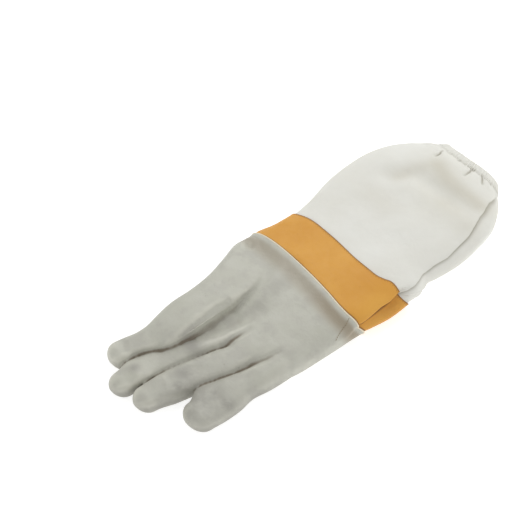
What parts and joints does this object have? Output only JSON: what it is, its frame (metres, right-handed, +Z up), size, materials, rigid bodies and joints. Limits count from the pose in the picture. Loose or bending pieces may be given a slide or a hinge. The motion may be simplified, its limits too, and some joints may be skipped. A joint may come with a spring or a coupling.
{
  "type": "work glove",
  "caption": "Long left-hand work glove lying flat: smooth dipped hand, coated wrist band and a canvas sleeve gathered by an elastic hem.",
  "frame": {"origin": "under the middle of the glove's bounding box, on the surface that it lies on", "axes": "+Y from the fingertips to the sleeve's opening, +X to the little finger side, +Z up from the palm side to the back of the hand"},
  "size_m": [0.1732, 0.474, 0.0409],
  "materials": {
    "nitrile": "smooth satin dipped nitrile, light grey",
    "coated_band": "soft coated cloth, golden orange",
    "canvas": "fine plain-weave canvas, off-white"
  },
  "bodies": {
    "root": {"dipped_hand": "nitrile", "wrist_band": "coated_band", "canvas_sleeve": "canvas", "elastic_hem": "canvas"}
  },
  "joints": []
}
